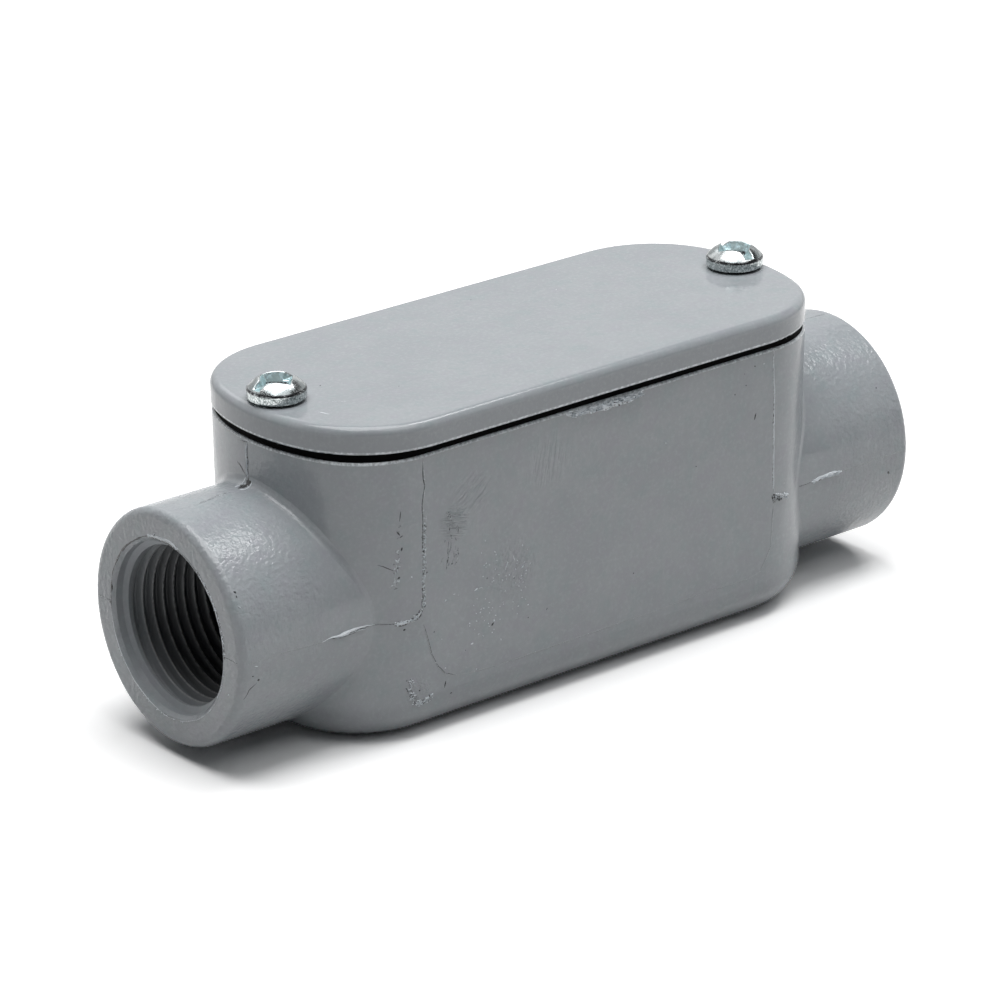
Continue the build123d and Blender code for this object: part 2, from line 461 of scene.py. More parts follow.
def enamelColour(vector, split, rub, pits, spec):
    # cloudy grey with faint teal and violet
    cloud = noise(vector, spec["cloudScale"], 4.0, 0.6)
    colour = blend(remap(cloud, 0.35, 0.65), spec["colour"], spec["clouded"])
    tint = noise(vector, spec["tintScale"], 5.0, 0.7)
    colour = blend(remap(tint, 0.5, 0.66, 0.0, 0.7), colour, spec["teal"])
    colour = blend(remap(tint, 0.5, 0.34, 0.0, 0.7), colour, spec["violet"])
    # painted shade: below the given height the cover's sides take a darker colour
    if spec["paintedSideShade"]:
        below = remap(split["Z"], *spec["paintedSideShadeLine"], 1.0, 0.0)
        colour = blend(below, colour, spec["paintedSideShade"])
    # a pale rub all over, a pale line round the rim's edge that is edge wear and painted highlight, pale
    # specks, and dark pits whose dark is painted shade
    colour = blend(remap(rub, 0.45, 0.75, 0.0, 0.09), colour, spec["pale"])
    if spec["rimWearAndHighlight"]:
        line = bandMask(split["Z"], *spec["rimWearAndHighlight"])
        line = times(line, remap(rub, 0.4, 0.6, 0.3, 1.0))
        colour = blend(line, colour, spec["pale"])
    specks = useGroup("dots", vector, Share=spec["pits"], **spec["speckSize"])
    colour = blend(times(specks, 0.7), colour, spec["pale"])
    # painted shade: the pits take a near-black colour
    colour = blend(times(pits, 0.85), colour, spec["pit"])
    # painted shade deep inside the bores, and a painted highlight on the thread crests, patchy with the rub
    colour = blend(boreShadeMask(split, boreShadeSpec), colour, spec["inside"])
    crest = times(ownValue(vector.id_data, "crest"), remap(rub, 0.35, 0.6, 0.4, 1.0))
    return blend(crest, colour, spec["crest"])


def makeEnamel(spec):
    material, shader, vector = startMaterial(spec["name"])
    shader.inputs["Specular IOR Level"].default_value = spec["specular"]
    split = separate(vector)
    rub = noise(vector, spec["rubScale"], 4.0, 0.7)
    pits = useGroup("dots", vector, Share=spec["pits"], **spec["pitSize"])
    colour = enamelColour(vector, split, rub, pits, spec)
    gloss = remap(rub, 0.3, 0.7, spec["roughness"] - 0.03, spec["roughness"] + 0.05)
    dress(shader, colour, gloss, enamelHeight(vector, split, pits, spec))
    return material


# sheet rubber: black and dull, with a fine grain; its black is set near zero, darker than rubber, as painted
# shade in the gap under the cover
rubberSpec = {"dark": (0.001, 0.001, 0.001), "worn": (0.003, 0.003, 0.003), "grain": 0.03, "specular": 0.02}


def makeRubber(spec):
    material, shader, vector = startMaterial("gasketRubber")
    shader.inputs["Specular IOR Level"].default_value = spec["specular"]
    grain = noise(vector, 3.0, 4.0)
    colour = blend(grain, spec["dark"], spec["worn"])
    dress(shader, colour, remap(grain, 0.3, 0.7, 0.6, 0.8), times(grain, spec["grain"]))
    return material


# bright zinc: dull grey with brighter patches, a blue-green film in the driving recess, and a dimpled skin;
# the head's side and a band round its top edge are darkened as painted shade
zincSpec = {
    "bright": (0.62, 0.65, 0.655),
    "grey": (0.30, 0.33, 0.335),
    "film": (0.42, 0.53, 0.54),
    "paleFilm": (0.62, 0.80, 0.85),
    "dull": (0.05, 0.052, 0.056),
    # painted shade: the darker, greener colour of the head's side
    "flank": (0.27, 0.31, 0.305),
    "speck": (0.82, 0.85, 0.85),
    "flankHeight": 51.6,
    "flankSoft": 0.12,
    # painted shade: the band round the edge between the dome and the side
    "seam": (51.48, 52.0),
    "dimple": 0.03,
    "fineDimple": 0.012,
}


def makeZinc(spec):
    material, shader, vector = startMaterial("brightZinc")
    shader.inputs["Metallic"].default_value = 1.0
    patches = noise(vector, 0.5, 3.0)
    colour = blend(remap(patches, 0.42, 0.58), spec["grey"], spec["bright"])
    recess = ownValue(material.node_tree, "film")
    mottle = remap(noise(vector, 1.1, 4.0, 0.65), 0.45, 0.65)
    film = blend(mottle, spec["film"], spec["paleFilm"])
    colour = blend(remap(recess, 0.2, 0.9), colour, film)
    grime = noise(vector, 2.6, 5.0, 0.7)
    height = separate(vector)["Z"]
    middle, soft = spec["flankHeight"], spec["flankSoft"]
    # painted shade: the head's side, below the flank height, takes a darker, greener colour
    flank = remap(height, middle + soft, middle - soft, 0.0, 0.75)
    colour = blend(flank, colour, spec["flank"])
    specks = remap(noise(vector, 3.6, 3.0, 0.6), 0.47, 0.6)
    colour = blend(times(flank, specks), colour, spec["speck"])
    # painted shade: a dark band round the edge between the dome and the side, broken by the grime noise
    seam = times(bandMask(height, *spec["seam"]), remap(grime, 0.34, 0.52))
    colour = blend(seam, colour, spec["dull"])
    # dark patches of grime, weighted a little towards the head's side as painted shade
    dirtAndShade = plus(grime, times(flank, 0.1))
    colour = blend(remap(dirtAndShade, 0.6, 0.74, 0.0, 0.8), colour, spec["dull"])
    dullness = plus(remap(grime, 0.35, 0.65, 0.16, 0.3), times(recess, 0.22))
    dimples = times(noise(vector, 1.3), spec["dimple"])
    fine = times(noise(vector, 5.5, 3.0), spec["fineDimple"])
    dress(shader, colour, dullness, plus(dimples, fine))
    return material


# scraped flash and flecks: each mesh says by its own values where it is bare metal and where it is dark; the
# dark is painted shade on the casting, and dark dots on the cover
scrapeSpec = {
    "paint": (0.365, 0.39, 0.41),
    "bare": (0.82, 0.87, 0.91),
    "dark": (0.02, 0.021, 0.023),
    "roughness": 0.28,
    "grain": 0.12,
}


def makeScrape(spec):
    material, shader, vector = startMaterial("scrapedFlash")
    broken = noise(vector, 4.0, 4.0, 0.7)
    patchy = noise(vector, 4.6, 3.0)
    bareMask = remap(plus(broken, ownValue(material.node_tree, "bare")), 0.93, 1.08)
    darkMask = remap(plus(patchy, ownValue(material.node_tree, "dark")), 0.93, 1.12)
    colour = blend(bareMask, spec["paint"], spec["bare"])
    colour = blend(darkMask, colour, spec["dark"])
    gloss = remap(broken, 0.35, 0.65, spec["roughness"] + 0.08, spec["roughness"] - 0.06)
    dress(shader, colour, gloss, times(patchy, spec["grain"]))
    return material


finishes = {
    "casting": makeEnamel(castSpec),
    "cover": makeEnamel(coverSpec),
    "bore": makeEnamel(boreSpec),
    "rubber": makeRubber(rubberSpec),
    "zinc": makeZinc(zincSpec),
    "scrape": makeScrape(scrapeSpec),
}
for nodeName, finish in (("casting", "casting"), ("cover", "cover"), ("gasket", "rubber")):
    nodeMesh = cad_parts[nodeName].data
    nodeMesh.materials.clear()
    nodeMesh.materials.append(finishes[finish])
print("finishes set:", len(finishes))


# mesh helpers; every shape below is worked out in millimetres and written in metres
def addPiece(name, points, faces, material, body, weld=0.0001, marks=None):
    # faces is a list of index arrays, one for each number of corners; marks are values for each point
    mesh = bpy.data.meshes.new(name)
    loops = np.concatenate([part.ravel() for part in faces]).astype(np.int32)
    sizes = np.concatenate([np.full(len(part), part.shape[1]) for part in faces]).astype(np.int32)
    mesh.vertices.add(len(points))
    mesh.vertices.foreach_set("co", (np.asarray(points) * mm).astype(np.float32).ravel())
    mesh.loops.add(len(loops))
    mesh.loops.foreach_set("vertex_index", loops)
    mesh.polygons.add(len(sizes))
    mesh.polygons.foreach_set("loop_start", (np.cumsum(sizes) - sizes).astype(np.int32))
    mesh.polygons.foreach_set("use_smooth", np.full(len(sizes), True))
    mesh.update(calc_edges=True)
    for label, values in (marks or {}).items():
        layer = mesh.attributes.new(label, "FLOAT", "POINT")
        layer.data.foreach_set("value", values.astype(np.float32))
    shell = bmesh.new()
    shell.from_mesh(mesh)
    bmesh.ops.remove_doubles(shell, verts=shell.verts, dist=weld * mm)
    bmesh.ops.recalc_face_normals(shell, faces=shell.faces)
    shell.to_mesh(mesh)
    shell.free()
    mesh.validate()
    mesh.materials.append(material)
    piece = addObject(name, mesh)
    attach(piece, body)
    return piece


def gridFaces(rows, columns, wrap=False, offset=0):
    # quads of a rows x columns grid of points, closed across its columns when wrap is set
    row = np.arange(rows - 1)[:, None]
    column = np.arange(columns if wrap else columns - 1)[None, :]
    after = (column + 1) % columns
    first, second = row * columns, (row + 1) * columns
    corners = (first + column, first + after, second + after, second + column)
    spread = [np.broadcast_to(corner, (rows - 1, column.shape[1])) for corner in corners]
    return np.stack(spread, -1).reshape(-1, 4) + offset


def smoothNoise(count, step, seed):
    # random values at every step-th place, joined by cosine curves, from -1 to 1
    random = np.random.default_rng(seed).uniform(-1, 1, count // step + 3)
    place = np.arange(count) / step
    low = place.astype(int)
    share = (1 - np.cos((place - low) * np.pi)) / 2
    return random[low] * (1 - share) + random[low + 1] * share


# pipe thread in each hub: 14 turns an inch, on a taper of one in sixteen across the diameter
threadSpec = {
    "pitch": 25.4 / 14,
    "face": 65.2,
    "depth": 16.2,
    "axisHeight": 19.8,
    "mouthRadius": 13.62,
    "recessRadius": 13.02,
    "landRadius": 12.1,
    "rootRadius": 13.04,
    "skinRadius": 13.3,
    "recessFrom": 0.55,
    "recessTo": 1.62,
    "landFrom": 1.98,
    "firstGroove": 2.44,
    "startAngle": 40.0,
    "fadeIn": 60.0,
    "crestFlat": 0.2,
    "crestHighlightHalf": 0.12,
    "rootFlat": 0.42,
    "rowsPerPitch": 16,
    "columns": 216,
    "mouthWobble": 0.035,
}


def threadRadius(depth, phase, turned, spec):
    # the bore narrows by one in thirty-two of depth; grooves with sloping sides and flat roots are cut
    # into it, and the first groove deepens over its first part of a turn
    pitch = spec["pitch"]
    land = spec["landRadius"] - depth / 32
    root = spec["rootRadius"] - depth / 32
    away = np.abs((phase - np.round(phase)) * pitch)
    flank = pitch / 2 - spec["crestFlat"] / 2 - spec["rootFlat"] / 2
    cut = np.clip((pitch / 2 - spec["crestFlat"] / 2 - away) / flank, 0, 1)
    begun = np.clip(turned / spec["fadeIn"], 0, 1)
    return land + (root - land) * cut * begun * begun * (3 - 2 * begun)


def ringPoints(depth, radius, angle, side, spec):
    # a point at a depth from the hub's face, turned clockwise from the top as seen from outside
    turn = np.radians(angle)
    x = side * (spec["face"] - depth)
    y = side * radius * np.sin(turn)
    z = spec["axisHeight"] + radius * np.cos(turn)
    return np.stack([x, y, z], -1)


def mouthSection(spec):
    # from the inner end back inside the wall, round the mouth and the recess, each row a depth, a radius and
    # how much the hand-trimmed edge wavers there
    mouth, recess = spec["mouthRadius"], spec["recessRadius"]
    return np.array(
        [
            (spec["depth"], spec["skinRadius"], 0),
            (0.9, spec["skinRadius"], 0),
            (0.4, mouth + 0.2, 0),
            (0.02, mouth + 0.12, 0),
            (-0.012, mouth + 0.06, 0.5),
            (-0.012, mouth, 1),
            (0.1, mouth - 0.13, 1),
            (spec["recessFrom"] - 0.03, recess + 0.03, 0),
            (spec["recessFrom"] + 0.03, recess, 0),
            (spec["recessTo"] - 0.05, recess, 0),
            (spec["recessTo"] + 0.02, recess - 0.06, 0),
            (spec["landFrom"] - 0.06, spec["landRadius"] + 0.04, 0),
        ]
    )


def makeThread(name, side, spec):
    # inner skin: rows follow the helix, so a row at angle a lies deeper by a turn's share of the pitch
    pitch, columns = spec["pitch"], spec["columns"]
    angle = np.linspace(0, 360, columns + 1)
    rows = int((spec["depth"] / pitch + 2) * spec["rowsPerPitch"])
    base = (np.arange(rows) / spec["rowsPerPitch"] - 1) * pitch
    depth = base[:, None] + pitch * angle[None, :] / 360
    depth = np.clip(depth, spec["landFrom"], spec["depth"])
    fromStart = (angle[None, :] - spec["startAngle"]) / 360
    phase = (depth - spec["firstGroove"]) / pitch - fromStart
    turned = (np.round(phase) + fromStart) * 360
    radius = threadRadius(depth, phase, turned, spec)
    inner = ringPoints(depth, radius, np.broadcast_to(angle, depth.shape), side, spec)
    # the rest: the section turned about the axis, with its edge wavering by a sum of three sines
    section = mouthSection(spec)
    turn = np.radians(angle)
    waves = np.sin(9 * turn + side) + 0.8 * np.sin(23 * turn) + 0.6 * np.sin(41 * turn + 2)
    waver = spec["mouthWobble"] * waves
    sweep = np.broadcast_to(angle, (len(section), columns + 1))
    wavering = section[:, 1:2] + section[:, 2:] * waver
    outer = ringPoints(section[:, :1] + 0 * sweep, wavering, sweep, side, spec)
    outer = np.concatenate([inner[-1:], outer, inner[:1]])
    points = np.concatenate([inner.reshape(-1, 3), outer.reshape(-1, 3)])
    faces = [gridFaces(rows, columns + 1), gridFaces(len(outer), columns + 1, offset=rows * (columns + 1))]
    # painted highlight: the crests take a paler colour than the grooves
    nearCrest = np.abs((phase - np.round(phase)) * pitch) > pitch / 2 - spec["crestHighlightHalf"]
    crest = np.concatenate([(nearCrest & (turned > spec["fadeIn"])).ravel(), np.zeros(outer.size // 3)])
    marks = {"crest": crest}
    addPiece(name, points, faces, finishes["bore"], "body", weld=0.0005, marks=marks)


makeThread("pipe_thread_left", -1, threadSpec)
makeThread("pipe_thread_right", 1, threadSpec)
print("pipe threads cut")


# cover screws: pan head with a slot and a cross, over a machine thread
screwSpec = {
    "place": 44.3,
    "seat": 49.9,
    "headRadius": 4.4,
    "footRadius": 3.5,
    "footHeight": 0.42,
    "rimHeight": 1.98,
    "domeFoot": 4.25,
    "domeHeight": 1.95,
    "slotHalf": 0.75,
    "slotDepth": 1.72,
    "crossDepth": 2.5,
    "crossReach": (2.7, 1.1),
    "crossHalf": (1.15, 0.4),
    "pocket": (2.75, 1.2),
    "wallSlope": 6.0,
    "wallFoot": 0.1,
    "cutSoft": 0.08,
    "edgeSoft": 0.1,
    "filmDepth": 0.25,
    "crestRadius": 2.03,
    "rootRadius": 1.6,
    "crestShare": 0.12,
    "pitch": 25.4 / 32,
    "stepsPerTurn": 10,
    "threadFrom": 0.3,
    "threadFade": 0.8,
    "length": 12.7,
    "columns": 192,
    "domeRows": 72,
    "turns": {"cover_screw_left": 4, "cover_screw_right": 84},
}


def softMin(first, second, width):
    # the lower of two heights, with the corner between them rounded over the given width
    share = np.clip(0.5 + 0.5 * (second - first) / width, 0, 1)
    return second * (1 - share) + first * share - width * share * (1 - share)


def headHeight(x, y, spec):
    # a round dome, cut by a slot along x and by a tapering cross whose corners are cut back; each cut is a
    # floor with steep walls. Gives the height, and how far it lies below the dome
    foot, rise = spec["domeFoot"], spec["domeHeight"]
    ball = (foot**2 + rise**2) / (2 * rise)
    away = np.minimum(np.hypot(x, y), foot)
    top, depth = spec["rimHeight"] + rise, spec["crossDepth"]
    dome = top - ball + np.sqrt(ball**2 - away**2)
    pastWall = np.maximum(np.abs(y) - spec["slotHalf"] + spec["wallFoot"], 0)
    cut = top - spec["slotDepth"] + spec["wallSlope"] * pastWall
    reach, half, pocket = spec["crossReach"], spec["crossHalf"], spec["pocket"]
    diagonal = (np.abs(x) + np.abs(y)) / math.sqrt(2)
    walls = [(diagonal - pocket[1]) / (pocket[0] - pocket[1])]
    for along, across in ((x, y), (y, x)):
        ends = (np.abs(along) - reach[1]) / (reach[0] - reach[1])
        sides = (np.abs(across) - half[1]) / (half[0] - half[1])
        walls.append(np.maximum(ends, sides))
    for wall in walls:
        cut = softMin(cut, top - depth + depth * np.maximum(wall, 0), spec["cutSoft"])
    height = softMin(dome, cut, spec["edgeSoft"])
    return height, dome - height


def headRings(angle, spec):
    # rings from the middle of the dome outwards, then down the head's side as radius and height with its
    # edges rounded; gives also how far each point of the dome is sunk
    steps = np.linspace(0, 1, spec["domeRows"] + 1)[1:]
    away = spec["domeFoot"] * steps[:, None] * np.ones(len(angle))
    x, y = away * np.cos(angle), away * np.sin(angle)
    height, sunk = headHeight(x, y, spec)
    wide, rim, foot = spec["headRadius"], spec["rimHeight"], spec["footHeight"]
    flank = np.array(
        [
            (wide - 0.09, rim - 0.07),
            (wide - 0.03, rim - 0.16),
            (wide, rim - 0.3),
            (wide, rim - 0.6),
            (wide, foot + 0.3),
            (wide - 0.02, foot + 0.06),
            (wide - 0.1, foot),
            (spec["footRadius"], 0.0),
            (spec["crestRadius"], 0.0),
        ]
    )
    ring = flank[:, :, None] * np.ones(len(angle))
    edge = np.stack([ring[:, 0] * np.cos(angle), ring[:, 0] * np.sin(angle), ring[:, 1]], -1)
    return np.concatenate([np.stack([x, y, height], -1), edge]), sunk


def shankRings(angle, spec):
    # a wave of one pitch with flat crests and roots, which deepens from nothing below the head and ends in a
    # tapered tip
    start, pitch, flat = spec["threadFrom"], spec["pitch"], spec["crestShare"]
    down = np.arange(start, spec["length"] - 0.02, pitch / spec["stepsPerTurn"])
    down = down[:, None] * np.ones(len(angle))
    phase = down / pitch - angle / (2 * np.pi)
    wave = np.abs(phase - np.floor(phase) - 0.5) * 2
    cut = np.clip((wave - flat) / (1 - 2 * flat), 0, 1) * np.clip((down - start) / spec["threadFade"], 0, 1)
    radius = spec["crestRadius"] - (spec["crestRadius"] - spec["rootRadius"]) * cut
    radius = np.minimum(radius, spec["rootRadius"] - 0.1 + spec["length"] - down)
    return np.stack([radius * np.cos(angle), radius * np.sin(angle), -down], -1)


def makeScrew(name, side, body, spec):
    # the rings of the head and the shank, closed by a point at each end, turned and set in place
    columns = spec["columns"]
    angle = np.arange(columns) * 2 * np.pi / columns
    head, sunk = headRings(angle, spec)
    rings = np.concatenate([head, shankRings(angle, spec)])
    middle = np.array([[0, 0, rings[0, :, 2].mean()], [0, 0, -spec["length"]]])
    points = np.concatenate([rings.reshape(-1, 3), middle])
    turn = math.radians(spec["turns"][name])
    spin = np.array([[math.cos(turn), math.sin(turn), 0], [-math.sin(turn), math.cos(turn), 0], [0, 0, 1]])
    points = points @ spin + (side * spec["place"], 0, spec["seat"])
    count = len(rings)
    column = np.arange(columns)
    after = (column + 1) % columns
    last = (count - 1) * columns
    top = np.stack([np.full(columns, count * columns), after, column], -1)
    tip = np.stack([np.full(columns, count * columns + 1), last + column, last + after], -1)
    faces = [gridFaces(count, columns, wrap=True), top, tip]
    film = np.zeros(len(points))
    film[: sunk.size] = np.clip(sunk.ravel() / spec["filmDepth"], 0, 1)
    film[count * columns] = 1
    marks = {"film": film}
    piece = addPiece(name + "_turned", points, faces, finishes["zinc"], body, marks=marks)
    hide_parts(name)


makeScrew("cover_screw_left", -1, "left_screw", screwSpec)
makeScrew("cover_screw_right", 1, "right_screw", screwSpec)
print("screws made")


# strokes: thin ridges of flash, crumbs and dark flecks, laid along paths on a node's skin; a flat dark strip
# beside a creased ridge is painted shade
strokeBase = {
    "width": 0.3,
    "height": 0.08,
    "rough": 0.6,
    "bare": 0.3,
    "dark": 0.0,
    # shade: the darkness of the painted shade strip beside a creased ridge
    "shade": 0.62,
    "crease": 0,
    "taper": 0.12,
    "step": 0.14,
    "sunk": 0.1,
}
archShape = np.array([(-1, -0.35), (-0.8, 0.1), (-0.42, 0.72), (0, 1), (0.42, 0.72), (0.8, 0.1), (1, -0.35)])
creaseShape = np.array(
    [(-1, -0.35), (-0.92, 0.1), (-0.4, 0.12), (-0.1, 0.8), (0.25, 1), (0.7, 0.45), (1, -0.35)]
)


def stroke(path, **values):
    # one stroke along a path in millimetres, with the usual values where none are given
    return {**strokeBase, "path": path, **values}


def nodeSkin(name):
    shell = bmesh.new()
    shell.from_mesh(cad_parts[name].data)
    tree = BVHTree.FromBMesh(shell)
    shell.free()
    return tree


def measure(path):
    # a path's corners, and how far along it each of them lies
    corners = np.array(path, float)
    runs = np.linalg.norm(np.diff(corners, axis=0), axis=1)
    return corners, np.concatenate([[0], np.cumsum(runs)])


def pointAlong(place, corners, along):
    return np.stack([np.interp(place, along, corners[:, axis]) for axis in range(3)], -1)


def layOn(skin, path, step):
    # a path's corners are joined by straight runs, divided evenly, and each place is dropped on the skin
    corners, along = measure(path)
    places = np.linspace(0, along[-1], max(int(along[-1] / step), 7))
    found = [skin.find_nearest(Vector(point) * mm) for point in pointAlong(places, corners, along)]
    points = np.array([hit[0] for hit in found]) / mm
    normals = np.array([hit[1] for hit in found])
    return points, normals, places / along[-1]


def strokeShape(spec, seed, skin):
    # half the width times an arch, its height and its course broken by smooth noise, with its edges sunk
    # below the skin; a creased stroke has a flat dark strip along one side, painted shade beside the ridge
    points, normals, share = layOn(skin, spec["path"], spec["step"])
    count = len(points)
    ahead = np.gradient(points, axis=0)
    ahead /= np.linalg.norm(ahead, axis=1)[:, None]
    across = np.cross(normals, ahead)
    across /= np.linalg.norm(across, axis=1)[:, None]
    up = np.cross(ahead, across)
    width, rough = spec["width"], spec["rough"]
    fade = np.clip(np.minimum(share, 1 - share) / spec["taper"], 0.03, 1)
    broken = rough * smoothNoise(count, 14, seed) + 0.5 * rough * smoothNoise(count, 3, seed + 1)
    tall = spec["height"] * fade * np.clip(1 + broken, 0.12, 2)
    wide = width * (0.3 + 0.7 * fade) * np.clip(1 + 0.5 * rough * smoothNoise(count, 9, seed + 2), 0.3, 2)
    drift = width * 0.35 * rough * smoothNoise(count, 11, seed + 3)
    arch = creaseShape if spec["crease"] else archShape
    if spec["crease"] > 0:
        arch = arch[::-1] * (-1, 1)
    profile = len(arch)
    jitter = np.stack([smoothNoise(count, 2, seed + 5 + k) for k in range(profile)], 1)
    sides = arch[:, 0] * wide[:, None] / 2 + drift[:, None]
    lift = (arch[:, 1] + 0.12 * rough * jitter) * tall[:, None]
    lift = np.where(arch[:, 1] < 0, -spec["sunk"], lift)
    shape = points[:, None, :] + sides[:, :, None] * across[:, None, :] + lift[:, :, None] * up[:, None, :]
    caps = np.array([np.arange(profile)[::-1], (count - 1) * profile + np.arange(profile)])
    dark = np.where((arch[:, 1] < 0.2) & (arch[:, 0] * spec["crease"] > 0.3), spec["shade"], spec["dark"])
    marks = {"bare": spec["bare"] * np.ones((count, profile)), "dark": dark * np.ones((count, 1))}
    return shape.reshape(-1, 3), gridFaces(count, profile, wrap=True), caps, marks


def addStrokes(name, strokes, skin, body, seed):
    # one mesh from several strokes
    shapes = [strokeShape(spec, seed + 20 * k, skin) for k, spec in enumerate(strokes)]
    start = np.cumsum([0] + [len(shape[0]) for shape in shapes[:-1]])
    points = np.concatenate([shape[0] for shape in shapes])
    quads = np.concatenate([shape[1] + first for shape, first in zip(shapes, start)])
    caps = np.concatenate([shape[2] + first for shape, first in zip(shapes, start)])
    marks = {key: np.concatenate([shape[3][key].ravel() for shape in shapes]) for key in ("bare", "dark")}
    addPiece(name, points, [quads, caps], finishes["scrape"], body, marks=marks)


def scatter(path, count, spread, length, width, seed, turn=180, facing=(0, 1, 0), **values):
    # short strokes at random places beside a path, turned at random up to the given angle from it, on a
    # skin that faces the given way
    random = np.random.default_rng(seed)
    corners, along = measure(path)
    runs = np.diff(corners, axis=0)
    strokes = []
    for place in random.uniform(0, along[-1], count):
        middle = pointAlong(place, corners, along)
        run = runs[min(np.searchsorted(along, place, side="right"), len(runs)) - 1]
        ahead = run / np.linalg.norm(run)
        aside = np.cross(facing, ahead)
        aside = aside / np.linalg.norm(aside)
        angle = math.radians(random.uniform(-turn, turn))
        heading = ahead * math.cos(angle) + aside * math.sin(angle)
        middle = middle + aside * random.normal(0, spread)
        half = heading * random.uniform(0.4, 1.2) * length / 2
        size = width * random.uniform(0.6, 1.4)
        strokes.append(stroke([middle - half, middle + half], **{"width": size, "step": 0.09, **values}))
    return strokes


def backFlash(side):
    # the back has plain flash on the same lines as the front: down the side, then out along the hub
    down = [(side * x, y, z) for x, y, z in [(34.2, 20.6, 44.2), (34.1, 20.3, 34), (34, 20, 20.4)]]
    hubPlaces = [(34, 20, 20.6), (36, 19.7, 19.5), (40, 18.5, 19.5), (50, 17.9, 19.6)]
    out = [(side * x, y, z) for x, y, z in hubPlaces]
    return [stroke(down, crease=1), stroke(out, width=0.4, height=0.14, bare=0.5)]
